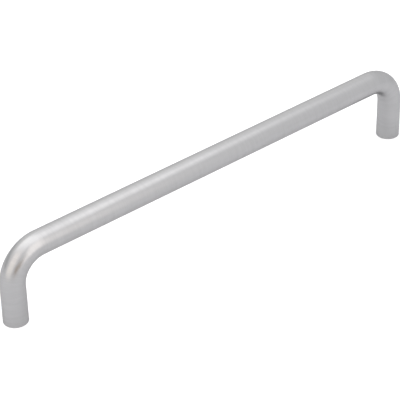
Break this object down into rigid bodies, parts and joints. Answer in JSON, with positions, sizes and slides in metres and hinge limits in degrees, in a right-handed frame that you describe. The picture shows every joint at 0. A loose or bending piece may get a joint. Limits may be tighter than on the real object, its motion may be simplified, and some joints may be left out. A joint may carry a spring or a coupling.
{
  "type": "bow cabinet handle",
  "caption": "Round-bar bow handle for a cabinet door or drawer, bent from satin steel rod, with a tapped blind screw hole in the face of each foot.",
  "frame": {"origin": "on the mounting plane that both feet rest on, midway between the two screw holes", "axes": "+X along the grip, +Y across it, +Z away from the door, from the feet towards the grip"},
  "size_m": [0.168, 0.008, 0.028],
  "materials": {
    "satin_steel": "fine satin brushed, uncoated"
  },
  "bodies": {
    "root": {"handle_bar": "satin_steel"}
  },
  "joints": []
}
